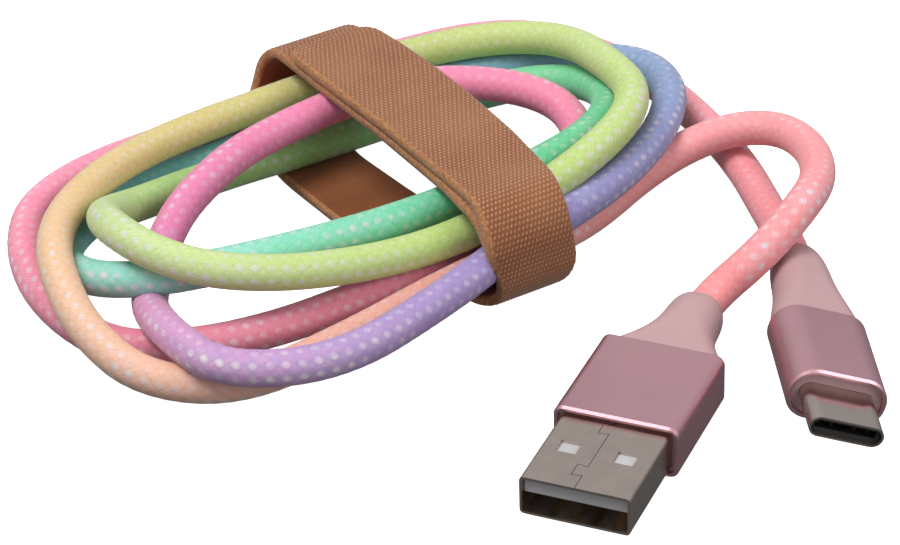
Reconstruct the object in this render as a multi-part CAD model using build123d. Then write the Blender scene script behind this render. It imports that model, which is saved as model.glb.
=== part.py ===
from build123d import *
import os
from math import cos, radians, sin, tan

# A braided charging cable, wound into loose oval turns and held by a hook-and-loop tie.
# Millimetres. It lies on the plane z = 0, with the origin under the middle of its box.
# +Y runs from the plugs to the far side of the coil, and +X to the coil's right end.

# Clearances
FIT = 0.02  # moulded and pressed pieces, each side
CORD_FIT = 0.02  # cord in the bore of a strain relief, each side
TIE_CLEAR = 0.15  # tie round the coil

# Cord
CORD_DIAMETER = 4.1
CORD_IN_RELIEF = 3.0  # how far the cord reaches into each strain relief
CORD_STRAIGHT = 2.5  # from the strain relief's end to the route's first corner
ARC_SHARE = 0.45  # share of the shorter run that each corner's arc takes up
WIRE_DIAMETER = 0.9
WIRE_SPREAD = 0.85  # from the cord's axis to each conductor, across and up

# Coil: how far it reaches from its centre, every 30 degrees from +X
COIL_CENTRE = (-1.1, 20.2)
COIL_OUTER = (42.8, 37.5, 32.0, 28.6, 31.8, 42.0, 45.8, 45.2, 36.4, 25.6, 28.8, 32.5)
COIL_INNER = (26.4, 20.4, 14.0, 13.0, 13.2, 16.6, 26.6, 21.0, 13.4, 11.6, 13.4, 18.6)
COIL_HEIGHT = 11.2
COIL_RIM = 1.3  # chamfer along its upper and lower edges

# Free ends of the cord, from the coil towards each plug
USB_A_ROUTE = [
    (13.6, 2.2, 2.8),
    (20.4, 5.1, 2.1),
    (27.1, 7.7, 2.6),
    (33.6, 7.7, 4.5),
    (38.9, 4.9, 6.7),
    (42.1, -0.2, 8.0),
    (41.2, -7.1, 8.7),
    (37.0, -13.8, 9.5),
    (30.6, -18.9, 10.6),
    (23.6, -20.9, 7.9),
]
USB_C_ROUTE = [
    (14.4, 46.4, 4.8),
    (22.0, 48.1, 3.4),
    (29.9, 49.2, 2.1),
    (36.6, 46.0, 2.1),
    (40.0, 40.2, 2.1),
    (42.2, 33.0, 2.1),
    (43.0, 23.6, 2.1),
    (40.3, 6.4, 2.1),
    (34.8, -8.2, 2.1),
]

# Cable tie: a band round the coil across its waist, leaning towards +X as it rises
TIE_WIDTH = 11.5
TIE_THICKNESS = 1.2
TIE_NEAR_EDGE = (-2.2, 0.15)  # left edge at the near side: x on the floor, lean for each mm of height
TIE_FAR_EDGE = (-5.6, 0.46)  # the same at the far side
TIE_NEAR, TIE_FAR = -4.6, 48.3  # inside faces
TIE_NEAR_TOP, TIE_FAR_TOP = 11.4, 10.4  # under the top span
TIE_CORNER = 4.4
TIE_FLAP_SHIFT = 0.8  # the overlapping end lies this far off the layer under it
TIE_FLAP_FAR = 42.0

# USB-A plug, from its mouth backwards
USB_A_MOUTH = (-16.8, -42.85)
USB_A_TURN = -55.2
A_SHELL_WIDTH, A_SHELL_HEIGHT, A_SHELL_LENGTH = 12.0, 4.5, 18.8
A_SHELL_WALL, A_SHELL_CORNER = 0.3, 0.5
A_SLEEVE_START, A_SLEEVE_LENGTH = 12.1, 14.8
A_SLEEVE_WALL, A_SLEEVE_CORNER = 0.5, 1.2
A_MOULDING_SIDE, A_MOULDING_TOP = 0.45, 0.35  # overmould between the shell and the sleeve
SLEEVE_RIM = 0.25  # bright chamfer round each sleeve's mouth
A_FACE_RECESS = 0.6
A_SEAM = 0.08
A_SEAM_TABS = (2.1, 10.0)  # where each dovetail starts
A_TAB_LENGTH, A_TAB_REACH, A_TAB_FLARE = 2.0, 1.15, 0.2
A_WINDOW_WIDTH, A_WINDOW_LENGTH = 2.2, 2.0
A_WINDOW_X, A_WINDOW_START = 3.1, 5.6
A_TONGUE_SETBACK, A_TONGUE_UNDERSIDE = 0.5, 0.1
A_BLOCK_START, A_BLOCK_END = 9.0, 16.0
A_CONTACTS = {  # name: (x, start)
    "vbus": (-3.5, 1.1),
    "d_minus": (-1.0, 2.1),
    "d_plus": (1.0, 2.1),
    "ground": (3.5, 1.1),
}
A_CONTACT_WIDTH, A_CONTACT_THICKNESS, A_CONTACT_END = 1.0, 0.25, 18.2
A_CONTACT_PROUD = 0.05
A_RELIEF = (  # behind the sleeve: distance, width, height
    (2.4, 11.4, 5.1),
    (4.8, 8.6, 5.3),
    (7.4, 6.9, 5.8),
    (10.4, 6.3, 5.9),
    (12.1, 5.3, 5.0),
)

# USB-C plug, from its mouth backwards
USB_C_MOUTH = (13.1, -49.05)
USB_C_TURN = -28.6
USB_C_ROLL = 18.0  # it lies rolled over on its sleeve's rounded edge
C_SHELL_WIDTH, C_SHELL_HEIGHT, C_SHELL_LENGTH = 8.25, 2.4, 13.0
C_SHELL_WALL = 0.25
C_SLEEVE_START, C_SLEEVE_LENGTH = 6.0, 13.0
C_SLEEVE_WALL, C_SLEEVE_CORNER = 0.5, 2.9
C_MOULDING_SIDE, C_MOULDING_TOP = 0.875, 1.375
C_FACE_RECESS = 0.5
C_BLOCK_SETBACK, C_BLOCK_END = 0.6, 8.0
C_SLOT_WIDTH, C_SLOT_HEIGHT, C_SLOT_END = 6.75, 0.8, 6.6
C_UPPER_CONTACTS = (-2.75, -1.25, -0.75, -0.25, 0.25, 1.25, 2.75)
C_LOWER_CONTACTS = (-2.75, -1.25, 1.25, 2.75)
C_CONTACT_WIDTH, C_CONTACT_THICKNESS = 0.25, 0.15
C_CONTACT_START, C_CONTACT_END = 1.6, 9.6
C_BOARD_WIDTH, C_BOARD_LENGTH, C_BOARD_THICKNESS = 7.0, 6.0, 0.6
C_BOARD_START = 8.2
C_LATCH_THICKNESS, C_LATCH_ARM, C_LATCH_START = 0.2, 0.3, 1.9
C_LATCH_HOOK = 0.25
C_LATCH_BEYOND = 0.225  # how far each arm stands outside the slot
C_LATCH_CROSSBAR_START, C_LATCH_CROSSBAR_END = 7.0, 7.6
C_SPRING_WIDTH, C_SPRING_START, C_SPRING_LENGTH, C_SPRING_THICKNESS = 5.2, 1.2, 3.0, 0.12
C_SPRING_WINDOW = 1.2
C_RESISTOR_WIDTH, C_RESISTOR_LENGTH, C_RESISTOR_HEIGHT = 1.0, 0.5, 0.35
C_RESISTOR_X, C_RESISTOR_START = 1.8, 10.8
C_WIRES = {"vbus": -2.4, "d_minus": -0.8, "d_plus": 0.8, "ground": 2.4}
C_RELIEF = (
    (3.0, 9.2, 5.7),
    (6.5, 7.6, 5.9),
    (10.0, 6.8, 5.9),
    (12.8, 6.2, 5.7),
    (14.8, 4.9, 4.9),
)

RELIEF_FLAT = 0.15  # half the flat left in the middle of each side of a strain relief

# Values that follow from the ones above
A_SLEEVE_WIDTH = A_SHELL_WIDTH + 2 * (A_SLEEVE_WALL + A_MOULDING_SIDE)
A_SLEEVE_HEIGHT = A_SHELL_HEIGHT + 2 * (A_SLEEVE_WALL + A_MOULDING_TOP)
C_SLEEVE_WIDTH = C_SHELL_WIDTH + 2 * (C_SLEEVE_WALL + C_MOULDING_SIDE)
C_SLEEVE_HEIGHT = C_SHELL_HEIGHT + 2 * (C_SLEEVE_WALL + C_MOULDING_TOP)
A_SLEEVE_END = A_SLEEVE_START + A_SLEEVE_LENGTH
A_RELIEF_END = A_SLEEVE_END + A_RELIEF[-1][0]
A_CORD_END = A_RELIEF_END - CORD_IN_RELIEF
C_SLEEVE_END = C_SLEEVE_START + C_SLEEVE_LENGTH
C_RELIEF_END = C_SLEEVE_END + C_RELIEF[-1][0]
C_CORD_END = C_RELIEF_END - CORD_IN_RELIEF
C_HALF_FLAT = C_SLEEVE_WIDTH / 2 - C_SLEEVE_CORNER
C_HALF_SIDE = C_SLEEVE_HEIGHT / 2 - C_SLEEVE_CORNER
USB_C_HEIGHT = (
    C_HALF_FLAT * sin(radians(USB_C_ROLL)) + C_HALF_SIDE * cos(radians(USB_C_ROLL)) + C_SLEEVE_CORNER
)
USB_A_PLACE = Pos(*USB_A_MOUTH, A_SLEEVE_HEIGHT / 2) * Rot(0, 0, USB_A_TURN)
USB_C_PLACE = Pos(*USB_C_MOUTH, USB_C_HEIGHT) * Rot(0, 0, USB_C_TURN) * Rot(0, USB_C_ROLL, 0)
ACROSS = Plane(origin=(0, 0, 0), x_dir=(1, 0, 0), z_dir=(0, 1, 0))  # looks back along a plug


def bar(section, start, end):
    """A section across the plug, carried back from start to end."""
    return extrude(ACROSS.offset(start) * section, amount=end - start)


def block(width, length, height, x=0.0, y=0.0, z=0.0):
    """A block with its front face at y, centred on x and z."""
    return Pos(x, y, z) * Box(width, length, height, align=(Align.CENTER, Align.MIN, Align.CENTER))


def rounded(width, height, corner):
    return RectangleRounded(width, height, corner)


def stadium(width, height):
    return SlotOverall(width, height)


def arc_radii(points):
    """The largest arc that fits at each corner of a route."""
    corners = [Vector(*point) for point in points]
    runs = [after - before for before, after in zip(corners, corners[1:])]
    radii = []
    for before, after in zip(runs, runs[1:]):
        half_turn = radians(before.get_angle(after)) / 2
        radii.append(ARC_SHARE * min(before.length, after.length) / tan(half_turn))
    return radii


def tube(points, diameter):
    """A round tube along straight runs joined by tangent arcs."""
    path = FilletPolyline(*points, radius=arc_radii(points))
    section = Plane(origin=path @ 0, z_dir=path % 0) * Circle(diameter / 2)
    return sweep(section, path=path)


def along(place, distance):
    """A point on a plug's axis, so far behind its mouth."""
    point = (place * Pos(0, distance, 0)).position
    return (point.X, point.Y, point.Z)


def cord_tail(route, place, relief_end, cord_end):
    """A free end of the cord, running straight into its strain relief."""
    points = route + [along(place, relief_end + CORD_STRAIGHT), along(place, cord_end)]
    tail = tube(points, CORD_DIAMETER)
    length = FilletPolyline(*points, radius=arc_radii(points)).length
    expected = Circle(CORD_DIAMETER / 2).area * length
    print("smallest arc radius", round(min(arc_radii(points)), 1))
    print("length", round(length, 1), "volume over section times length", round(tail.volume / expected, 4))
    return tail


def coil_outline(reaches):
    """A closed smooth outline round the coil's centre."""
    x, y = COIL_CENTRE
    step = 360 / len(reaches)
    points = [
        (x + reach * cos(radians(step * turn)), y + reach * sin(radians(step * turn)))
        for turn, reach in enumerate(reaches)
    ]
    around = points[-1:] + points + points[:1]
    return make_face(FilletPolyline(*points, radius=arc_radii(around), close=True))


def tie_loop(grow):
    """The tie's inner outline, seen along X, grown by an offset."""
    corners = [
        (TIE_NEAR, TIE_THICKNESS),
        (TIE_FAR, TIE_THICKNESS),
        (TIE_FAR, TIE_FAR_TOP),
        (TIE_NEAR, TIE_NEAR_TOP),
    ]
    loop = make_face(Polyline(*corners, close=True))
    loop = fillet(loop.vertices(), TIE_CORNER)
    return offset(loop, amount=grow) if grow else loop


def along_x(section):
    """A YZ section, carried along X past both sides of the coil."""
    return extrude(Plane.YZ * section, amount=COIL_OUTER[0], both=True)


def tie_section(y, edge, grow, shift):
    """The space between the tie's two edges, cut across Y."""
    floor_x, lean = edge
    low, high = -TIE_THICKNESS, COIL_HEIGHT * 2
    left, right = floor_x - grow + shift, floor_x + TIE_WIDTH + grow + shift
    corners = [
        (left + lean * low, y, low),
        (right + lean * low, y, low),
        (right + lean * high, y, high),
        (left + lean * high, y, high),
    ]
    return make_face(Polyline(*corners, close=True))


def tie_slab(grow=0.0, shift=0.0):
    """Everything between the tie's two edges, which lean more on the far side."""
    beyond = 3 * TIE_THICKNESS
    near = tie_section(TIE_NEAR - beyond, TIE_NEAR_EDGE, grow, shift)
    far = tie_section(TIE_FAR + beyond, TIE_FAR_EDGE, grow, shift)
    return loft([near, far], ruled=True)


def make_tie():
    band = along_x(tie_loop(TIE_THICKNESS) - tie_loop(0)) & tie_slab()
    flap = along_x(tie_loop(2 * TIE_THICKNESS) - tie_loop(TIE_THICKNESS))
    span = (TIE_FLAP_FAR - TIE_NEAR) - TIE_CORNER
    reach = Pos(0, TIE_NEAR + TIE_CORNER, TIE_NEAR_TOP / 2) * Box(
        4 * TIE_FAR, span, TIE_NEAR_TOP * 2, align=(Align.CENTER, Align.MIN, Align.MIN)
    )
    return band + (flap & reach & tie_slab(shift=TIE_FLAP_SHIFT))


def make_coil(tails):
    """The coil's outer shape, waisted by the tie, with the free ends let into it."""
    ring = extrude(coil_outline(COIL_OUTER) - coil_outline(COIL_INNER), amount=COIL_HEIGHT)
    rims = ring.faces().filter_by(Axis.Z).edges()
    ring = chamfer(rims, COIL_RIM)
    ring -= tie_slab(grow=TIE_CLEAR) - along_x(tie_loop(-TIE_CLEAR))
    for tail in tails:
        ring -= tail
    return ring


def sleeve(width, height, corner, wall, start, length):
    """A metal sleeve round a plug's body, with a bright chamfer at its mouth."""
    outer = rounded(width, height, corner)
    inner = rounded(width - 2 * wall, height - 2 * wall, corner - wall)
    piece = bar(outer - inner, start, start + length)
    mouth = piece.faces().sort_by(Axis.Y)[0]
    return chamfer(mouth.outer_wire().edges(), SLEEVE_RIM)


def moulded_body(width, height, corner, wall, start, sleeve_end, relief, cord_end):
    """An overmould: it fills the sleeve, then narrows to a strain relief with the cord's bore."""
    inner_width = width - 2 * wall - 2 * FIT
    inner_height = height - 2 * wall - 2 * FIT
    inner_corner = corner - wall - FIT
    base = rounded(inner_width, inner_height, inner_corner)
    body = bar(base, start, sleeve_end)
    sections = [ACROSS.offset(sleeve_end) * base]
    for distance, across, up in relief:
        section = rounded(across, up, min(across, up) / 2 - RELIEF_FLAT)
        sections.append(ACROSS.offset(sleeve_end + distance) * section)
    body += loft(sections)
    bore = Circle(CORD_DIAMETER / 2 + CORD_FIT)
    return body - bar(bore, cord_end, sleeve_end + 2 * relief[-1][0])


def wire(x, z, start, end, slot, grow=0.0):
    """A conductor, from its joint to its place in the cord's end, cut square at both."""
    across = WIRE_SPREAD if slot > 1 else -WIRE_SPREAD
    up = WIRE_SPREAD if slot in (1, 2) else -WIRE_SPREAD
    first, last = Vector(x, start, z), Vector(across, end, up)
    direction = (last - first).normalized()
    spare = direction * WIRE_DIAMETER
    section = Plane(origin=first - spare, z_dir=direction) * Circle(WIRE_DIAMETER / 2 + grow)
    conductor = extrude(section, amount=(last - first).length + 2 * WIRE_DIAMETER)
    return conductor & block(2 * A_SLEEVE_WIDTH, end - start, 2 * A_SLEEVE_HEIGHT, 0, start)


def a_contact(x, start, grow=0.0):
    """One flat contact, a little proud of the tongue's underside."""
    low = A_TONGUE_UNDERSIDE - A_CONTACT_PROUD
    middle = low + A_CONTACT_THICKNESS / 2
    length = A_CONTACT_END - start
    return block(
        A_CONTACT_WIDTH + 2 * grow,
        length + 2 * grow,
        A_CONTACT_THICKNESS + 2 * grow,
        x,
        start - grow,
        middle,
    )


def a_seam():
    """The folded shell's seam, with its two dovetail tabs."""
    line = [(0, -1)]
    for start in A_SEAM_TABS:
        end = start + A_TAB_LENGTH
        line += [
            (0, start + A_TAB_FLARE),
            (-A_TAB_REACH, start),
            (-A_TAB_REACH, end),
            (0, end - A_TAB_FLARE),
        ]
    line.append((0, A_SHELL_LENGTH + 1))
    cut = extrude(trace(Polyline(*line), line_width=A_SEAM), amount=2 * A_SHELL_WALL, both=True)
    return Pos(0, 0, A_SHELL_HEIGHT / 2) * cut


def make_a_shell():
    outer = rounded(A_SHELL_WIDTH, A_SHELL_HEIGHT, A_SHELL_CORNER)
    inner = rounded(
        A_SHELL_WIDTH - 2 * A_SHELL_WALL,
        A_SHELL_HEIGHT - 2 * A_SHELL_WALL,
        A_SHELL_CORNER - A_SHELL_WALL,
    )
    shell = bar(outer - inner, 0, A_SHELL_LENGTH) - a_seam()
    for x in (-A_WINDOW_X, A_WINDOW_X):
        shell -= block(A_WINDOW_WIDTH, A_WINDOW_LENGTH, 2 * A_SHELL_HEIGHT, x, A_WINDOW_START)
    return shell


def make_a_insulator():
    """The tongue that holds the contacts, and the block that closes the shell behind it."""
    width = A_SHELL_WIDTH - 2 * A_SHELL_WALL - 2 * FIT
    half = A_SHELL_HEIGHT / 2 - A_SHELL_WALL - FIT
    thickness = half - A_TONGUE_UNDERSIDE
    tongue = block(
        width, A_BLOCK_END - A_TONGUE_SETBACK, thickness, 0, A_TONGUE_SETBACK, half - thickness / 2
    )
    back = block(width, A_BLOCK_END - A_BLOCK_START, 2 * half, 0, A_BLOCK_START)
    body = tongue + back
    front = body.faces().sort_by(Axis.Y)[0]
    body = chamfer(front.edges(), A_SHELL_WALL / 2)
    corner = A_SHELL_CORNER - A_SHELL_WALL
    body &= bar(rounded(width, 2 * half, corner), 0, A_BLOCK_END)
    for x, start in A_CONTACTS.values():
        body -= a_contact(x, start, FIT)
    return body


def make_a_overmould(contacts, wires):
    body = moulded_body(
        A_SLEEVE_WIDTH,
        A_SLEEVE_HEIGHT,
        A_SLEEVE_CORNER,
        A_SLEEVE_WALL,
        A_SLEEVE_START + A_FACE_RECESS,
        A_SLEEVE_END,
        A_RELIEF,
        A_CORD_END,
    )
    outside = rounded(A_SHELL_WIDTH + 2 * FIT, A_SHELL_HEIGHT + 2 * FIT, A_SHELL_CORNER + FIT)
    inside = rounded(
        A_SHELL_WIDTH - 2 * A_SHELL_WALL - 2 * FIT,
        A_SHELL_HEIGHT - 2 * A_SHELL_WALL - 2 * FIT,
        A_SHELL_CORNER - A_SHELL_WALL,
    )
    body -= bar(outside, 0, A_SHELL_LENGTH + FIT)
    body += bar(inside, A_BLOCK_END + FIT, A_SHELL_LENGTH + 2 * FIT)
    for cutter in contacts + wires:
        body -= cutter
    return body


def a_wire(name, grow=0.0):
    """A conductor that butts against the end of its contact."""
    slot = list(A_CONTACTS).index(name)
    middle = A_TONGUE_UNDERSIDE - A_CONTACT_PROUD + A_CONTACT_THICKNESS / 2
    return wire(A_CONTACTS[name][0], middle, A_CONTACT_END + FIT, A_CORD_END, slot, grow)


def make_usb_a():
    parts = {
        "usb_a_shell": make_a_shell(),
        "usb_a_insulator": make_a_insulator(),
        "usb_a_sleeve": sleeve(
            A_SLEEVE_WIDTH,
            A_SLEEVE_HEIGHT,
            A_SLEEVE_CORNER,
            A_SLEEVE_WALL,
            A_SLEEVE_START,
            A_SLEEVE_LENGTH,
        ),
    }
    contact_beds, wire_beds = [], []
    for name, (x, start) in A_CONTACTS.items():
        parts["usb_a_contact_" + name] = a_contact(x, start)
        parts["usb_a_wire_" + name] = a_wire(name)
        contact_beds.append(a_contact(x, start, FIT))
        wire_beds.append(a_wire(name, FIT))
    parts["usb_a_overmould"] = make_a_overmould(contact_beds, wire_beds)
    return parts


def c_contacts(places, side, grow=0.0):
    """One row of flat contacts, resting on one side of the board; side is 1 above and -1 below."""
    middle = side * (C_BOARD_THICKNESS + C_CONTACT_THICKNESS) / 2
    length = C_CONTACT_END - C_CONTACT_START
    return [
        block(
            C_CONTACT_WIDTH + 2 * grow,
            length + 2 * grow,
            C_CONTACT_THICKNESS + 2 * grow,
            x,
            C_CONTACT_START - grow,
            middle,
        )
        for x in places
    ]


def c_latch(grow=0.0):
    """The sprung fork that holds the plug in its socket, with a hook at the tip of each arm."""
    thickness = C_LATCH_THICKNESS + 2 * grow
    outside = C_SLOT_WIDTH / 2 + C_LATCH_BEYOND
    inside = outside - C_LATCH_ARM
    reach = C_LATCH_CROSSBAR_END - C_LATCH_START
    bar_length = C_LATCH_CROSSBAR_END - C_LATCH_CROSSBAR_START
    fork = block(2 * (outside + grow), bar_length + 2 * grow, thickness, 0, C_LATCH_CROSSBAR_START - grow)
    for side in (-1, 1):
        arm_x = side * (outside + inside) / 2
        hook_x = side * (inside - C_LATCH_HOOK / 2)
        fork += block(C_LATCH_ARM + 2 * grow, reach + 2 * grow, thickness, arm_x, C_LATCH_START - grow)
        fork += block(C_LATCH_HOOK + 2 * grow, 2 * C_LATCH_ARM, thickness, hook_x, C_LATCH_START)
    return fork


def c_spring(side, grow=0.0):
    """A grounding spring between the insulator and the shell; side is 1 above and -1 below."""
    half = C_SHELL_HEIGHT / 2 - C_SHELL_WALL - FIT
    middle = side * (half - C_SPRING_THICKNESS / 2)
    plate = block(
        C_SPRING_WIDTH + 2 * grow,
        C_SPRING_LENGTH + 2 * grow,
        C_SPRING_THICKNESS + 2 * grow,
        0,
        C_SPRING_START - grow,
        middle,
    )
    if grow:
        return plate
    for x in (-C_SPRING_WIDTH / 4, C_SPRING_WIDTH / 4):
        plate -= block(C_SPRING_WINDOW, C_SPRING_LENGTH / 2, 1, x, C_SPRING_START + C_SPRING_LENGTH / 4, middle)
    return plate


def make_c_insulator():
    width = C_SHELL_WIDTH - 2 * C_SHELL_WALL - 2 * FIT
    height = C_SHELL_HEIGHT - 2 * C_SHELL_WALL - 2 * FIT
    body = bar(stadium(width, height), C_BLOCK_SETBACK, C_BLOCK_END)
    body -= block(C_SLOT_WIDTH, C_SLOT_END - C_BLOCK_SETBACK, C_SLOT_HEIGHT, 0, C_BLOCK_SETBACK)
    body -= c_latch(FIT)
    for side in (-1, 1):
        body -= c_spring(side, FIT)
    for bed in c_contacts(C_UPPER_CONTACTS, 1, FIT) + c_contacts(C_LOWER_CONTACTS, -1, FIT):
        body -= bed
    return body


def c_board(grow=0.0):
    return block(
        C_BOARD_WIDTH + 2 * grow, C_BOARD_LENGTH + grow, C_BOARD_THICKNESS + 2 * grow, 0, C_BOARD_START
    )


def c_wire(name, grow=0.0):
    """A conductor that butts against the board's back edge."""
    slot = list(C_WIRES).index(name)
    start = C_BOARD_START + C_BOARD_LENGTH + FIT
    return wire(C_WIRES[name], 0, start, C_CORD_END, slot, grow)


def make_c_overmould(wires):
    body = moulded_body(
        C_SLEEVE_WIDTH,
        C_SLEEVE_HEIGHT,
        C_SLEEVE_CORNER,
        C_SLEEVE_WALL,
        C_SLEEVE_START + C_FACE_RECESS,
        C_SLEEVE_END,
        C_RELIEF,
        C_CORD_END,
    )
    body -= bar(stadium(C_SHELL_WIDTH + 2 * FIT, C_SHELL_HEIGHT + 2 * FIT), 0, C_SHELL_LENGTH + FIT)
    for cutter in [c_board(FIT)] + wires:
        body -= cutter
    return body


def make_usb_c():
    shell = stadium(C_SHELL_WIDTH, C_SHELL_HEIGHT)
    hollow = stadium(C_SHELL_WIDTH - 2 * C_SHELL_WALL, C_SHELL_HEIGHT - 2 * C_SHELL_WALL)
    resistor_z = (C_BOARD_THICKNESS + C_RESISTOR_HEIGHT) / 2
    parts = {
        "usb_c_shell": bar(shell - hollow, 0, C_SHELL_LENGTH),
        "usb_c_insulator": make_c_insulator(),
        "usb_c_upper_contacts": Compound(c_contacts(C_UPPER_CONTACTS, 1)),
        "usb_c_lower_contacts": Compound(c_contacts(C_LOWER_CONTACTS, -1)),
        "usb_c_latch": c_latch(),
        "usb_c_ground_springs": Compound([c_spring(-1), c_spring(1)]),
        "usb_c_board": c_board(),
        "usb_c_resistor": block(
            C_RESISTOR_WIDTH, C_RESISTOR_LENGTH, C_RESISTOR_HEIGHT, C_RESISTOR_X, C_RESISTOR_START, resistor_z
        ),
        "usb_c_sleeve": sleeve(
            C_SLEEVE_WIDTH,
            C_SLEEVE_HEIGHT,
            C_SLEEVE_CORNER,
            C_SLEEVE_WALL,
            C_SLEEVE_START,
            C_SLEEVE_LENGTH,
        ),
    }
    beds = []
    for name in C_WIRES:
        parts["usb_c_wire_" + name] = c_wire(name)
        beds.append(c_wire(name, FIT))
    parts["usb_c_overmould"] = make_c_overmould(beds)
    return parts


a_tail = cord_tail(USB_A_ROUTE, USB_A_PLACE, A_RELIEF_END, A_CORD_END)
c_tail = cord_tail(USB_C_ROUTE, USB_C_PLACE, C_RELIEF_END, C_CORD_END)
nodes = {
    "cord_usb_a_tail": a_tail,
    "cord_usb_c_tail": c_tail,
    "cord_coil": make_coil([a_tail, c_tail]),
    "cable_tie": make_tie(),
}
for name, piece in make_usb_a().items():
    nodes[name] = USB_A_PLACE * piece
for name, piece in make_usb_c().items():
    nodes[name] = USB_C_PLACE * piece

os.makedirs("parts", exist_ok=True)
for name, piece in nodes.items():
    export_step(piece, f"parts/{name}.step")
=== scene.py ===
import math

import bpy
import numpy as np
from mathutils import Matrix, Vector


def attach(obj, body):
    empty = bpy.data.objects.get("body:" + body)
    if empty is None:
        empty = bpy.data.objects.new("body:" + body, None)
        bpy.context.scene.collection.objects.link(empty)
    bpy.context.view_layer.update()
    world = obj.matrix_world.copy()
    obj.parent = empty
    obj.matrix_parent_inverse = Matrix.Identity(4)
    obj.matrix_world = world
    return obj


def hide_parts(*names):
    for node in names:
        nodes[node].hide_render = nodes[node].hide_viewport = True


# The looks of a braided rainbow charging cable, wound into loose turns and tied with a tape.
# Metres. The frame is the model's own: +Y runs from the plugs to the far side of the coil.

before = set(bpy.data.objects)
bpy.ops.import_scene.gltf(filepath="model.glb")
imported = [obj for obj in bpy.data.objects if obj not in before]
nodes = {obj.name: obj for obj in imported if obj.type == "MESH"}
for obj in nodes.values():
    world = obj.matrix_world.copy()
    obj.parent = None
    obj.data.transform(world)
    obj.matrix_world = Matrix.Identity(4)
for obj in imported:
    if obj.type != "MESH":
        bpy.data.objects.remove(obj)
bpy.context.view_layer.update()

MM = 0.001

# Camera
CAMERA_PLACE = (-0.18025, -0.28205, 0.21078)
CAMERA_TARGET = (-0.0001, 0.00625, 0.0)
CAMERA_LENS = 140.8
CAMERA_TURN = -1.7

# Light
FLOOR_GLOW = 1.0
SKY_BELOW, SKY_ABOVE = 0.12, 0.55
KEY_POWER, FILL_POWER = 6.4, 2.4

# Cord
CORD_DIAMETER = 4.1 * MM
RING_STEP = 0.4 * MM
SEGMENTS = 32
BRAID_PITCH = 1.6 * MM  # from one crossing to the next along the cord
BRAID_COLUMNS = 8  # pairs of columns round the cord
BRAID_RELIEF = 0.03 * MM
BEND_WINDOW = 25  # rings that the bend is averaged over, for the braid's stretch

# Free ends, from the coil towards each plug: as in the part's source, with two more points at the
# end that lie on the plug's axis. The source's points are rounded results of a fit too.
USB_A_ROUTE = [
    (13.6, 2.2, 2.8),
    (20.4, 5.1, 2.1),
    (27.1, 7.7, 2.6),
    (33.6, 7.7, 4.5),
    (38.9, 4.9, 6.7),
    (42.1, -0.2, 8.0),
    (41.2, -7.1, 8.7),
    (37.0, -13.8, 9.5),
    (30.6, -18.9, 10.6),
    (23.6, -20.9, 7.9),
    (17.28, -19.17, 3.1),
    (12.76, -22.30, 3.1),
]
USB_C_ROUTE = [
    (14.4, 46.4, 4.8),
    (22.0, 48.1, 3.4),
    (29.9, 49.2, 2.1),
    (36.6, 46.0, 2.1),
    (40.0, 40.2, 2.1),
    (42.2, 33.0, 2.1),
    (43.0, 23.6, 2.1),
    (40.3, 6.4, 2.1),
    (34.8, -8.2, 2.1),
    (30.48, -17.18, 3.87),
    (27.84, -22.01, 3.87),
]

# Coil: the turn in degrees from +X, the share of the half axes, and the height in millimetres.
# The rows are rounded results of a fit to the photograph, not chosen by hand.
COIL_CENTRE = (-1.1, 20.2)
COIL_HALF_AXES = (44.0, 27.0)
COIL_STEP = 15
COIL_KNOTS = [
    (80, 0.90, 3.5),
    (105, 0.97, 3.8),
    (135, 1.05, 5.4),
    (155, 1.00, 5.2),
    (180, 0.95, 3.3),
    (202, 0.94, 1.9),
    (225, 0.84, 2.6),
    (248, 0.70, 3.6),
    (270, 0.64, 3.2),
    (292, 0.60, 3.7),
    (315, 0.60, 4.3),
    (360, 0.60, 6.9),
    (400, 0.57, 8.2),
    (425, 0.55, 8.6),
    (460, 0.49, 8.3),
    (495, 0.49, 8.2),
    (520, 0.58, 6.0),
    (545, 0.70, 2.9),
    (570, 0.93, 6.0),
    (600, 1.30, 6.2),
    (630, 0.86, 6.3),
    (675, 0.83, 7.4),
    (720, 0.91, 7.6),
    (765, 0.89, 4.2),
    (810, 0.71, 3.4),
    (855, 0.87, 3.1),
    (900, 0.86, 6.1),
    (945, 0.64, 9.2),
    (990, 0.46, 8.2),
    (1035, 0.62, 9.4),
    (1080, 0.73, 7.2),
    (1115, 0.80, 4.0),
    (1140, 0.63, 3.3),
    (1175, 0.55, 3.4),
    (1215, 0.72, 4.2),
    (1260, 0.78, 11.7),
    (1305, 0.81, 9.9),
    (1350, 0.66, 7.1),
    (1395, 0.78, 12.0),
    (1440, 0.73, 11.3),
    (1485, 0.90, 8.4),
    (1530, 0.81, 6.7),
    (1575, 0.84, 8.3),
    (1620, 0.94, 8.9),
    (1642, 1.05, 5.8),
    (1665, 1.15, 1.7),
    (1683, 0.98, 3.1),
    (1700, 0.83, 4.1),
    (1730, 0.69, 3.2),
]

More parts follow.
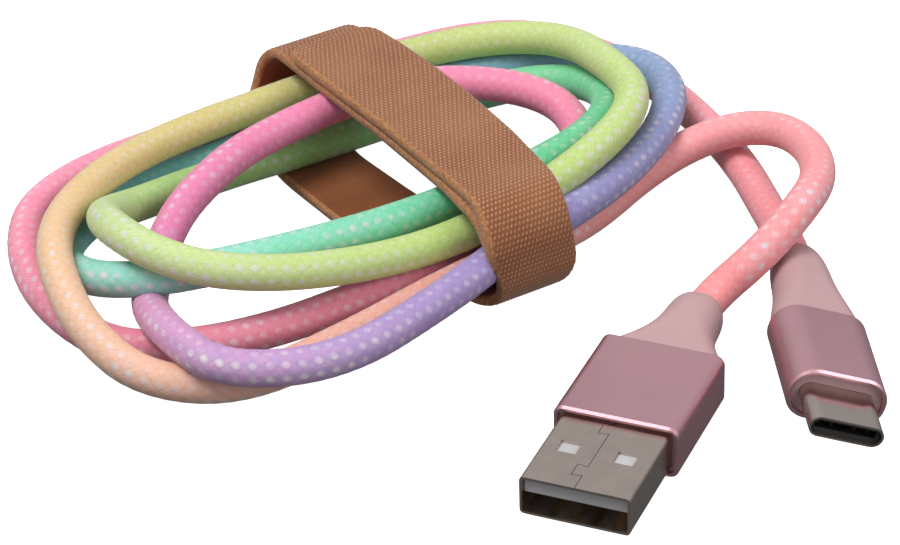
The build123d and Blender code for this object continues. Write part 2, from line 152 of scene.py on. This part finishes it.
# The cord's dye, from the USB-C end: share of the length and colour
DYE = [
    (0.00, (0.90, 0.29, 0.31)),
    (0.04, (0.93, 0.34, 0.38)),
    (0.09, (0.92, 0.32, 0.46)),
    (0.14, (0.97, 0.30, 0.44)),
    (0.18, (0.74, 0.22, 0.31)),
    (0.23, (0.90, 0.26, 0.38)),
    (0.26, (0.90, 0.25, 0.42)),
    (0.30, (0.76, 0.20, 0.40)),
    (0.325, (0.62, 0.30, 0.54)),
    (0.345, (0.44, 0.28, 0.56)),
    (0.37, (0.31, 0.24, 0.52)),
    (0.40, (0.24, 0.28, 0.53)),
    (0.43, (0.25, 0.39, 0.60)),
    (0.45, (0.13, 0.42, 0.46)),
    (0.49, (0.15, 0.50, 0.48)),
    (0.515, (0.28, 0.68, 0.58)),
    (0.545, (0.18, 0.64, 0.40)),
    (0.57, (0.10, 0.56, 0.26)),
    (0.60, (0.22, 0.72, 0.38)),
    (0.63, (0.24, 0.50, 0.14)),
    (0.65, (0.38, 0.60, 0.20)),
    (0.68, (0.56, 0.70, 0.28)),
    (0.72, (0.46, 0.63, 0.16)),
    (0.76, (0.56, 0.71, 0.26)),
    (0.79, (0.52, 0.58, 0.18)),
    (0.82, (0.66, 0.54, 0.20)),
    (0.845, (0.80, 0.52, 0.28)),
    (0.875, (0.84, 0.48, 0.36)),
    (0.91, (0.74, 0.30, 0.24)),
    (0.95, (0.95, 0.36, 0.38)),
    (1.00, (0.90, 0.29, 0.30)),
]
FLECK = (0.70, 0.64, 0.68, 1)

# Cable tie: its thickness, inside faces, corners and flap, as in the part's source
TIE_THICKNESS = 1.2
TIE_NEAR, TIE_FAR = -4.6, 48.3
TIE_NEAR_TOP, TIE_FAR_TOP = 11.4, 10.4
TIE_CORNER = 4.4
TIE_FLAP_FAR = 42.0
# Only here: the cord's bulge on the near side, how the inner end is let into the outer layer,
# and the cut of the flap's end
TIE_BULGE = 0.4
INNER_END_DEPTH = 0.15
INNER_END_REACH = 1.05  # in corner radii, below the top
FLAP_CUT_LENGTH = 2.5
FLAP_CUT_SHARE = 0.25  # of the width, at the very end
# The tape's course round the loop: y and z of a place on it, its left edge and its right edge
TIE_COURSE = [
    (-5.8, 9.5, -2.5, 8.2),
    (-5.8, 6.4, -1.8, 8.9),
    (-5.8, 4.0, -0.8, 8.9),
    (-3.5, 1.0, -0.8, 8.2),
    (5.0, 0.6, -2.8, 7.0),
    (22.0, 0.6, -5.3, 5.2),
    (34.0, 0.6, -5.4, 4.6),
    (44.0, 0.6, -4.4, 6.4),
    (49.5, 5.0, -0.6, 10.4),
    (46.0, 11.0, 0.4, 11.6),
    (36.0, 12.6, 0.0, 12.3),
    (28.0, 12.6, -0.2, 12.3),
    (20.0, 12.6, -0.3, 11.9),
    (10.0, 12.6, -0.8, 10.9),
    (3.0, 12.6, -1.2, 9.6),
    (-2.5, 12.4, -2.1, 8.5),
]
# The tape's weave
TAPE_DOT = 0.28  # half the distance between the tape's loops, along it
TAPE_ACROSS = 40  # mesh steps across the tape
LOOP_HEIGHT = 0.07
TAPE_STRIP = 0.4  # width of the bare strip along the tape's left edge
STRIP_BLEND = 0.15
EDGE_ROUND_WIDTH, EDGE_ROUND_DEPTH = 0.4, 0.12
CORNER_STEP = 0.25  # between points on a rounded corner
EDGE_WINDOW = 27  # stations that the edges' course is smoothed over
TAPE_GROUND = (0.235, 0.085, 0.036, 1)
TAPE_WORN = (0.29, 0.12, 0.056, 1)
TAPE_LOOP = (0.52, 0.29, 0.165, 1)
TAPE_EDGE_DARK = (0.27, 0.105, 0.04, 1)
TAPE_EDGE_LIGHT = (0.50, 0.25, 0.115, 1)
TAPE_LINING_DARK = (0.19, 0.055, 0.014, 1)
TAPE_LINING_LIGHT = (0.27, 0.095, 0.03, 1)


class Graph:
    """A material's nodes, made and joined in few words."""

    def __init__(self, name):
        self.material = bpy.data.materials.new(name)
        self.material.use_nodes = True
        self.tree = self.material.node_tree
        self.shader = self.tree.nodes["Principled BSDF"]

    def plug(self, socket, value):
        if isinstance(value, bpy.types.NodeSocket):
            self.tree.links.new(value, socket)
        elif value is not None:
            socket.default_value = value

    def add(self, kind, inputs=(), output=0, **settings):
        node = self.tree.nodes.new(kind)
        for key, value in settings.items():
            setattr(node, key, value)
        for key, value in dict(inputs).items():
            self.plug(node.inputs[key], value)
        return node.outputs[output]

    def math(self, operation, first, second=None, third=None):
        node = self.tree.nodes.new("ShaderNodeMath")
        node.operation = operation
        for socket, value in zip(node.inputs, (first, second, third)):
            self.plug(socket, value)
        return node.outputs[0]

    def mix(self, factor, first, second, blend="MIX"):
        node = self.tree.nodes.new("ShaderNodeMix")
        node.data_type = "RGBA"
        node.blend_type = blend
        self.plug(node.inputs[0], factor)
        self.plug(node.inputs[6], first)
        self.plug(node.inputs[7], second)
        return node.outputs[2]

    def spread(self, value, low, high, new_low=0.0, new_high=1.0):
        return self.add(
            "ShaderNodeMapRange",
            {0: value, 1: low, 2: high, 3: new_low, 4: new_high},
        )

    def ramp(self, value, stops):
        node = self.tree.nodes.new("ShaderNodeValToRGB")
        points = node.color_ramp.elements
        while len(points) < len(stops):
            points.new(1.0)
        for point, (place, colour) in zip(points, stops):
            point.position = place
            point.color = (*colour, 1)
        self.plug(node.inputs[0], value)
        return node.outputs[0]

    def bump(self, height, strength, distance, normal=None):
        return self.add(
            "ShaderNodeBump",
            {"Height": height, "Strength": strength, "Distance": distance, "Normal": normal},
        )

    def set(self, **values):
        for name, value in values.items():
            self.plug(self.shader.inputs[name.replace("_", " ")], value)
        return self.material


def make_mesh(name, points, faces, uvs=None):
    mesh = bpy.data.meshes.new(name)
    mesh.from_pydata(np.asarray(points).tolist(), [], faces)
    if uvs is not None:
        layer = mesh.uv_layers.new(name="surface")
        layer.uv.foreach_set("vector", np.asarray(uvs, np.float32).ravel())
    mesh.shade_smooth()
    mesh.update()
    piece = bpy.data.objects.new(name, mesh)
    bpy.context.collection.objects.link(piece)
    return piece


def dress(name, material):
    for slot in nodes[name].material_slots:
        slot.material = material


# Camera and light


def make_camera():
    data = bpy.data.cameras.new("camera")
    data.lens = CAMERA_LENS
    data.sensor_width = 36
    data.clip_start = 0.01
    camera = bpy.data.objects.new("camera", data)
    bpy.context.collection.objects.link(camera)
    camera.location = CAMERA_PLACE
    look = Vector(CAMERA_TARGET) - Vector(CAMERA_PLACE)
    turn = look.to_track_quat("-Z", "Y").to_matrix().to_4x4()
    roll = Vector((0, 0, 1))
    spin = Matrix.Rotation(math.radians(CAMERA_TURN), 4, roll)
    camera.matrix_world = Matrix.Translation(Vector(CAMERA_PLACE)) @ turn @ spin
    bpy.context.scene.camera = camera


def make_light(name, place, size, power, target=(0, 0, 0)):
    data = bpy.data.lights.new(name, "AREA")
    data.shape = "DISK"
    data.size = size
    data.energy = power
    light = bpy.data.objects.new(name, data)
    bpy.context.collection.objects.link(light)
    light.location = place
    light.rotation_mode = "QUATERNION"
    light.rotation_quaternion = (Vector(target) - Vector(place)).to_track_quat("-Z", "Y")


def make_studio():
    floor = make_mesh(
        "floor",
        [(-3, -3, 0), (3, -3, 0), (3, 3, 0), (-3, 3, 0)],
        [(0, 1, 2, 3)],
    )
    graph = Graph("floor")
    white = (1, 1, 1, 1)
    graph.set(Base_Color=(0.8, 0.8, 0.8, 1), Roughness=0.9)
    floor.data.materials.append(graph.set(Emission_Color=white, Emission_Strength=FLOOR_GLOW))
    floor.visible_diffuse = False
    floor.visible_glossy = False
    world = bpy.data.worlds.new("studio")
    bpy.context.scene.world = world
    world.use_nodes = True
    tree = world.node_tree
    direction = tree.nodes.new("ShaderNodeTexCoord")
    split = tree.nodes.new("ShaderNodeSeparateXYZ")
    tree.links.new(direction.outputs["Generated"], split.inputs[0])
    rise = tree.nodes.new("ShaderNodeMapRange")
    tree.links.new(split.outputs[2], rise.inputs[0])
    for socket, value in zip(list(rise.inputs)[1:5], (-0.5, 0.6, SKY_BELOW, SKY_ABOVE)):
        socket.default_value = value
    background = tree.nodes["Background"]
    background.inputs[0].default_value = white
    tree.links.new(rise.outputs[0], background.inputs[1])
    make_light("key", (-0.35, 0.10, 0.9), 0.55, KEY_POWER)
    make_light("fill", (0.3, -0.7, 0.5), 0.6, FILL_POWER)
    bpy.context.scene.view_settings.view_transform = "Standard"


# Cord


def knot_value(angle, column):
    """A smooth value between the coil's knots."""
    turns = [knot[0] for knot in COIL_KNOTS]
    at = min(max(int(np.searchsorted(turns, angle, "right")), 1), len(turns) - 1)
    around = [COIL_KNOTS[min(max(k, 0), len(turns) - 1)] for k in (at - 2, at - 1, at, at + 1)]
    (t0, v0), (t1, v1), (t2, v2), (t3, v3) = [(knot[0], knot[column]) for knot in around]
    slope_in = (v2 - v0) / (t2 - t0)
    slope_out = (v3 - v1) / (t3 - t1)
    span = t2 - t1
    share = (angle - t1) / span
    square, cube = share**2, share**3
    return (
        (2 * cube - 3 * square + 1) * v1
        + (cube - 2 * square + share) * slope_in * span
        + (3 * square - 2 * cube) * v2
        + (cube - square) * slope_out * span
    )


def coil_points():
    """Control points of the coil's turns."""
    points = []
    for angle in range(COIL_KNOTS[0][0], COIL_KNOTS[-1][0], COIL_STEP):
        share = knot_value(angle, 1)
        x = COIL_CENTRE[0] + COIL_HALF_AXES[0] * share * math.cos(math.radians(angle))
        y = COIL_CENTRE[1] + COIL_HALF_AXES[1] * share * math.sin(math.radians(angle))
        points.append((x, y, knot_value(angle, 2)))
    return points


def route_line(points):
    """The line of one NURBS spline with these control points, in metres."""
    curve = bpy.data.curves.new("cord_route", "CURVE")
    curve.dimensions = "3D"
    spline = curve.splines.new("NURBS")
    spline.points.add(len(points) - 1)
    for corner, place in zip(spline.points, points):
        corner.co = (*[value * MM for value in place], 1)
    spline.order_u = 3
    spline.use_endpoint_u = True
    spline.resolution_u = 20
    holder = bpy.data.objects.new("cord_route", curve)
    bpy.context.collection.objects.link(holder)
    mesh = bpy.data.meshes.new_from_object(holder)
    line = np.array([vertex.co[:] for vertex in mesh.vertices])
    bpy.data.objects.remove(holder)
    bpy.data.meshes.remove(mesh)
    return line


def evenly(line, step):
    """The same line with points a step apart."""
    along = np.concatenate([[0], np.cumsum(np.linalg.norm(np.diff(line, axis=0), axis=1))])
    places = np.linspace(0, along[-1], int(round(along[-1] / step)) + 1)
    return np.stack([np.interp(places, along, line[:, axis]) for axis in range(3)], 1), along[-1]


def unit(vectors):
    return vectors / np.linalg.norm(vectors, axis=-1, keepdims=True)


def carried_frames(line):
    """Two directions across the line at each point, carried along without twist."""
    ahead = unit(np.gradient(line, axis=0))
    side = unit(np.cross(ahead[0], (0, 0, 1.0)))
    sides = []
    for direction in ahead:
        side = unit(side - direction * side.dot(direction))
        sides.append(side)
    sides = np.array(sides)
    return ahead, sides, np.cross(ahead, sides)


def make_cord():
    line, length = evenly(route_line(USB_C_ROUTE[::-1] + coil_points() + USB_A_ROUTE), RING_STEP)
    ahead, sides, ups = carried_frames(line)
    rings = len(line)
    turn = np.arange(SEGMENTS) * 2 * math.pi / SEGMENTS
    outward = sides[:, None] * np.cos(turn)[None, :, None] + ups[:, None] * np.sin(turn)[None, :, None]
    along = np.arange(rings) * length / (rings - 1) / BRAID_PITCH
    around = np.arange(SEGMENTS) * BRAID_COLUMNS / SEGMENTS
    right = along[:, None] + around[None, :]
    left = along[:, None] - around[None, :]
    relief = np.sqrt(np.abs(np.sin(math.pi * right) * np.sin(math.pi * left)))
    radius = CORD_DIAMETER / 2 - BRAID_RELIEF + BRAID_RELIEF * relief
    points = line[:, None] + outward * radius[..., None]
    ring, segment = np.meshgrid(np.arange(rings - 1), np.arange(SEGMENTS), indexing="ij")
    following = (segment + 1) % SEGMENTS
    quads = np.stack(
        [
            ring * SEGMENTS + segment,
            ring * SEGMENTS + following,
            (ring + 1) * SEGMENTS + following,
            (ring + 1) * SEGMENTS + segment,
        ],
        -1,
    ).reshape(-1, 4)
    share = np.stack([ring, ring, ring + 1, ring + 1], -1) / (rings - 1)
    column = np.stack([segment, segment + 1, segment + 1, segment], -1) / SEGMENTS
    uvs = np.stack([share, column], -1).reshape(-1, 2)
    faces = quads.tolist()
    faces.append(list(range(SEGMENTS))[::-1])
    faces.append(list(range((rings - 1) * SEGMENTS, rings * SEGMENTS)))
    uvs = np.concatenate([uvs, np.zeros((SEGMENTS, 2)), np.ones((SEGMENTS, 2))])
    cord = make_mesh("cord", points.reshape(-1, 3), faces, uvs)
    bend = np.gradient(ahead, length / (rings - 1), axis=0)
    window = np.hanning(BEND_WINDOW) / np.hanning(BEND_WINDOW).sum()
    bend = np.stack([np.convolve(bend[:, axis], window, "same") for axis in range(3)], 1)
    stretch = -(bend[:, None] * outward).sum(-1) * CORD_DIAMETER / 2
    layer = cord.data.attributes.new("stretch", "FLOAT", "POINT")
    layer.data.foreach_set("value", stretch.astype(np.float32).ravel())
    cord.data.materials.append(braid_material(length))
    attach(cord, "root")
    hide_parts("cord_coil", "cord_usb_a_tail", "cord_usb_c_tail")
    return cord


def braid_material(length):
    graph = Graph("braid")
    place = graph.add("ShaderNodeUVMap", uv_map="surface")
    split = graph.tree.nodes.new("ShaderNodeSeparateXYZ")
    graph.plug(split.inputs[0], place)
    share, column = split.outputs[0], split.outputs[1]
    along = graph.math("MULTIPLY", share, length / BRAID_PITCH)
    around = graph.math("MULTIPLY", column, BRAID_COLUMNS)
    right = graph.math("ADD", along, around)
    left = graph.math("SUBTRACT", along, around)
    sine_right = graph.math("SINE", graph.math("MULTIPLY", right, math.pi))
    sine_left = graph.math("SINE", graph.math("MULTIPLY", left, math.pi))
    product = graph.math("MULTIPLY", sine_right, sine_left)
    height = graph.math("SQRT", graph.math("ABSOLUTE", product))
    narrow = graph.math("POWER", graph.math("ABSOLUTE", sine_left), 1.6)
    narrow = graph.math("MULTIPLY", narrow, graph.math("LESS_THAN", product, 0.0))
    left_over = graph.spread(graph.math("MULTIPLY", narrow, graph.math("ABSOLUTE", sine_right)), 0.15, 0.75)
    # Each yarn takes the dye a little early or late
    cell = graph.add(
        "ShaderNodeCombineXYZ",
        {0: graph.math("FLOOR", right), 1: graph.math("FLOOR", left)},
    )
    chance = graph.add("ShaderNodeTexWhiteNoise", {"Vector": cell}, noise_dimensions="2D")
    drift = graph.spread(chance, 0, 1, -0.005, 0.005)
    dye = graph.ramp(graph.math("ADD", share, drift), DYE)
    # Pale filler shows between left-hand yarns where a bend opens the braid
    stretch = graph.add("ShaderNodeAttribute", output=2, attribute_name="stretch")
    opened = graph.spread(stretch, -0.05, 0.15, 0.2, 1.0)
    patch = graph.add(
        "ShaderNodeTexNoise",
        {
            "Vector": graph.add("ShaderNodeCombineXYZ", {0: graph.math("MULTIPLY", along, 0.35), 1: around}),
            "Scale": 1.0,
            "Detail": 2.0,
        },
        noise_dimensions="2D",
    )
    patch = graph.spread(patch, 0.3, 0.65, 0.2, 1.0)
    fleck = graph.math("MULTIPLY", graph.math("MULTIPLY", left_over, opened), patch)
    dye = graph.mix(graph.math("MULTIPLY", graph.math("MULTIPLY", opened, patch), 0.22), dye, FLECK)
    # Single threads run along each yarn. The colour is also darker in the crevices between yarns: painted
    # shade.
    threads = graph.add(
        "ShaderNodeTexNoise",
        {
            "Vector": graph.add(
                "ShaderNodeCombineXYZ",
                {0: graph.math("MULTIPLY", right, 6.0), 1: graph.math("MULTIPLY", left, 1.5)},
            ),
            "Scale": 1.0,
            "Detail": 2.0,
        },
        noise_dimensions="2D",
    )
    shade = graph.spread(threads, 0.3, 0.7, 0.92, 1.05)
    # Painted shade: the colour darkens where the braid's relief is low, in the crevices between yarns
    shade = graph.math("MULTIPLY", shade, graph.spread(height, 0.0, 0.5, 0.95, 1.0))
    colour = graph.mix(fleck, dye, FLECK)
    shade_colour = graph.add("ShaderNodeCombineColor", {0: shade, 1: shade, 2: shade})
    colour = graph.mix(1.0, colour, shade_colour, "MULTIPLY")
    relief = graph.math("ADD", height, graph.math("MULTIPLY", threads, 0.6))
    normal = graph.bump(relief, 0.22, 0.0001)
    return graph.set(
        Base_Color=colour,
        Roughness=0.6,
        Specular_IOR_Level=0.3,
        Sheen_Weight=0.15,
        Sheen_Roughness=0.4,
        Normal=normal,
    )


# Cable tie


def tie_top(y):
    return TIE_NEAR_TOP + (TIE_FAR_TOP - TIE_NEAR_TOP) * (y - TIE_NEAR) / (TIE_FAR - TIE_NEAR)


def rounded_line(corners, radius, step):
    """A line through corners, each rounded by an arc, as points a step apart or less."""
    line = [np.array(corners[0], float)]
    for before, at, after in zip(corners, corners[1:], corners[2:]):
        before, at, after = np.array(before, float), np.array(at, float), np.array(after, float)
        arriving, leaving = unit(at - before), unit(after - at)
        turn = math.acos(np.clip(arriving.dot(leaving), -1, 1))
        reach = radius * math.tan(turn / 2)
        start, end = at - arriving * reach, at + leaving * reach
        centre = start + unit(leaving - arriving * leaving.dot(arriving)) * radius
        pieces = max(2, int(radius * turn / step))
        for part in range(pieces + 1):
            swing = turn * part / pieces
            inward = unit(centre - start)
            line.append(centre - inward * radius * math.cos(swing) + arriving * radius * math.sin(swing))
    line.append(np.array(corners[-1], float))
    return np.array(line)


def tie_edges(line):
    """Where the tape's left and right edges lie beside each point of its middle line."""

    def around(places):
        middle, reach = (TIE_NEAR + TIE_FAR) / 2, (TIE_FAR - TIE_NEAR) / 2
        up = (places[:, 1] - TIE_NEAR_TOP / 2) / TIE_NEAR_TOP * 2
        return np.arctan2(up, (places[:, 0] - middle) / reach)

    course = np.array(TIE_COURSE)
    known = around(course[:, :2])
    window = np.hanning(EDGE_WINDOW) / np.hanning(EDGE_WINDOW).sum()
    edges = []
    for column in (2, 3):
        edge = np.interp(around(line[:, 1:]), known, course[:, column], period=2 * math.pi)
        edge = np.pad(edge, EDGE_WINDOW // 2, mode="edge")
        edges.append(np.convolve(edge, window, "valid"))
    return edges


def make_tie():
    half = TIE_THICKNESS / 2
    near, far = TIE_NEAR - half - TIE_BULGE, TIE_FAR + half
    corner = TIE_CORNER + half
    # The inner end starts inside the outer layer, where the two part at the near side
    corners = [
        (near + INNER_END_DEPTH, tie_top(near) + half - INNER_END_REACH * corner),
        (near + INNER_END_DEPTH, tie_top(near) + half),
        (far, tie_top(far) + half),
        (far, half),
        (near, half),
        (near, tie_top(near) + 3 * half),
        (TIE_FLAP_FAR, tie_top(TIE_FLAP_FAR) + 3 * half),
    ]
    flat = rounded_line(corners, corner, CORNER_STEP)
    line, length = evenly(np.column_stack([np.zeros(len(flat)), flat]), TAPE_DOT)
    stations = len(line)
    ahead = unit(np.gradient(line, axis=0))
    outward = np.cross((1.0, 0, 0), ahead)
    along = np.arange(stations) * length / (stations - 1)
    across = np.linspace(0, 1, TAPE_ACROSS + 1)
    lefts, rights = tie_edges(line)
    width = (rights - lefts).mean()
    from_left = across * width
    edge = np.minimum(from_left, width - from_left)
    # The flap's end is cut to a rounded tongue
    to_end = np.clip((length - along) / FLAP_CUT_LENGTH, 0, 1)
    narrowing = 1 - FLAP_CUT_SHARE * (1 - np.sqrt(1 - (1 - to_end) ** 2))
    rows, dots, strips, linings = [], [], [], []
    station, row = np.meshgrid(np.arange(stations), np.arange(TAPE_ACROSS + 1), indexing="ij")
    checked = (station % 2 == 0) & ((row + station // 2) % 2 == 0)
    loops = checked & (from_left[None, :] > TAPE_STRIP)
    strip = np.clip((TAPE_STRIP + STRIP_BLEND - from_left) / (2 * STRIP_BLEND), 0, 1)
    for side in (1, -1):
        inset = half - EDGE_ROUND_DEPTH * np.clip(1 - edge / EDGE_ROUND_WIDTH, 0, 1) ** 2
        height = side * inset[None, :] + (LOOP_HEIGHT * loops if side == 1 else 0)
        part = np.zeros((stations, TAPE_ACROSS + 1, 3))
        centred = (across - 0.5)[None, :] * narrowing[:, None] + 0.5
        part[..., 0] = lefts[:, None] + centred * (rights - lefts)[:, None]
        part[..., 1] = line[:, None, 1] + outward[:, None, 1] * height
        part[..., 2] = line[:, None, 2] + outward[:, None, 2] * height
        step = 1 if side == 1 else -1
        rows.append(part[:, ::step])
        dots.append((loops if side == 1 else 0 * loops)[:, ::step])
        strips.append(np.tile(strip, (stations, 1))[:, ::step])
        linings.append(np.full((stations, TAPE_ACROSS + 1), 0.5 - 0.5 * side))
    ring = np.concatenate(rows, 1)
    around = ring.shape[1]
    faces, uvs = [], []
    widths = np.concatenate([from_left, from_left[::-1]]) / 100
    for station in range(stations - 1):
        base = station * around
        for place in range(around):
            after = (place + 1) % around
            faces.append((base + place, base + after, base + around + after, base + around + place))
            low, high = along[station] / 100, along[station + 1] / 100
            uvs += [(widths[place], low), (widths[after], low), (widths[after], high), (widths[place], high)]
    faces.append(tuple(range(around))[::-1])
    faces.append(tuple(range((stations - 1) * around, stations * around)))
    uvs += [(0, 0)] * (2 * around)
    tie = make_mesh("cable_tie_tape", ring.reshape(-1, 3) * MM, faces, uvs)
    for name, values in (("loops", dots), ("strip", strips), ("lining", linings)):
        layer = tie.data.attributes.new(name, "FLOAT", "POINT")
        layer.data.foreach_set("value", np.concatenate(values, 1).astype(np.float32).ravel())
    tie.data.materials.append(tape_material())
    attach(tie, "root")
    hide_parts("cable_tie")
    return tie


def tape_material():
    """Woven tape: pale loop heads on a darker ground, and a bare strip along one edge."""
    graph = Graph("tie_fabric")
    place = graph.add("ShaderNodeTexCoord", output=3)
    loops = graph.add("ShaderNodeAttribute", output=2, attribute_name="loops")
    strip = graph.add("ShaderNodeAttribute", output=2, attribute_name="strip")
    lining = graph.add("ShaderNodeAttribute", output=2, attribute_name="lining")
    wear = graph.add("ShaderNodeTexNoise", {"Vector": place, "Scale": 90.0, "Detail": 4.0})
    fine = graph.add("ShaderNodeTexNoise", {"Vector": place, "Scale": 2600.0, "Detail": 3.0})
    ground = graph.mix(graph.spread(wear, 0.35, 0.65), TAPE_GROUND, TAPE_WORN)
    head = graph.math("MULTIPLY", graph.spread(loops, 0.25, 0.8), graph.spread(fine, 0.35, 0.6, 0.55, 1.0))
    colour = graph.mix(head, ground, TAPE_LOOP)
    inside = graph.mix(graph.spread(wear, 0.3, 0.7), TAPE_LINING_DARK, TAPE_LINING_LIGHT)
    colour = graph.mix(lining, colour, inside)
    bare = graph.mix(graph.spread(fine, 0.3, 0.7), TAPE_EDGE_DARK, TAPE_EDGE_LIGHT)
    colour = graph.mix(strip, colour, bare)
    normal = graph.bump(fine, 0.5, 0.00012)
    return graph.set(
        Base_Color=colour,
        Roughness=0.9,
        Specular_IOR_Level=0.15,
        Sheen_Weight=0.2,
        Sheen_Roughness=0.5,
        Normal=normal,
    )


# Plugs


def plain(name, colour, roughness, metallic=0.0, grain=120.0, spread=0.06, bump=0.0):
    """A moulded or metal surface with a fine grain in its colour, gloss and relief."""
    graph = Graph(name)
    place = graph.add("ShaderNodeTexCoord", output=3)
    noise = graph.add("ShaderNodeTexNoise", {"Vector": place, "Scale": grain, "Detail": 4.0})
    dark = tuple(channel * (1 - spread) for channel in colour) + (1,)
    light = tuple(min(channel * (1 + spread), 1) for channel in colour) + (1,)
    graph.set(
        Base_Color=graph.mix(graph.spread(noise, 0.3, 0.7), dark, light),
        Roughness=graph.spread(noise, 0.3, 0.7, roughness * 0.9, roughness * 1.1),
        Metallic=metallic,
    )
    if bump:
        fine = graph.add("ShaderNodeTexNoise", {"Vector": place, "Scale": grain * 30, "Detail": 2.0})
        graph.set(Normal=graph.bump(fine, bump, 0.00003))
    return graph.material


def dress_plugs():
    aluminium = plain("rose_aluminium", (0.76, 0.44, 0.50), 0.36, 1.0, 60.0, 0.04, 0.25)
    overmould = plain("overmould", (0.485, 0.305, 0.315), 0.5, 0.0, 80.0, 0.03, 0.15)
    steel = plain("plated_steel", (0.57, 0.49, 0.44), 0.24, 1.0, 400.0, 0.05, 0.1)
    bright = plain("drawn_steel", (0.58, 0.51, 0.47), 0.18, 1.0, 300.0, 0.04, 0.05)
    white = plain("white_insulator", (0.48, 0.47, 0.48), 0.45)
    black = plain("black_insulator", (0.012, 0.012, 0.013), 0.4)
    gold = plain("contact_gold", (0.83, 0.58, 0.22), 0.25, 1.0)
    spring = plain("spring_steel", (0.60, 0.58, 0.55), 0.3, 1.0)
    board = plain("circuit_board", (0.03, 0.20, 0.07), 0.4)
    dark = plain("resistor", (0.02, 0.02, 0.02), 0.5)
    looks = {
        "usb_a_sleeve": aluminium,
        "usb_c_sleeve": aluminium,
        "usb_a_overmould": overmould,
        "usb_c_overmould": overmould,
        "usb_a_shell": steel,
        "usb_c_shell": bright,
        "usb_a_insulator": white,
        "usb_c_insulator": black,
        "usb_c_latch": spring,
        "usb_c_ground_springs": spring,
        "usb_c_board": board,
        "usb_c_resistor": dark,
    }
    wires = {
        "vbus": plain("wire_red", (0.50, 0.02, 0.02), 0.4),
        "d_minus": plain("wire_white", (0.80, 0.80, 0.78), 0.4),
        "d_plus": plain("wire_green", (0.03, 0.30, 0.06), 0.4),
        "ground": plain("wire_black", (0.02, 0.02, 0.02), 0.4),
    }
    for name in nodes:
        if name in looks:
            dress(name, looks[name])
        elif "contact" in name:
            dress(name, gold)
        elif "_wire_" in name:
            dress(name, wires[name.split("_wire_")[1]])


make_camera()
make_studio()
make_cord()
make_tie()
dress_plugs()
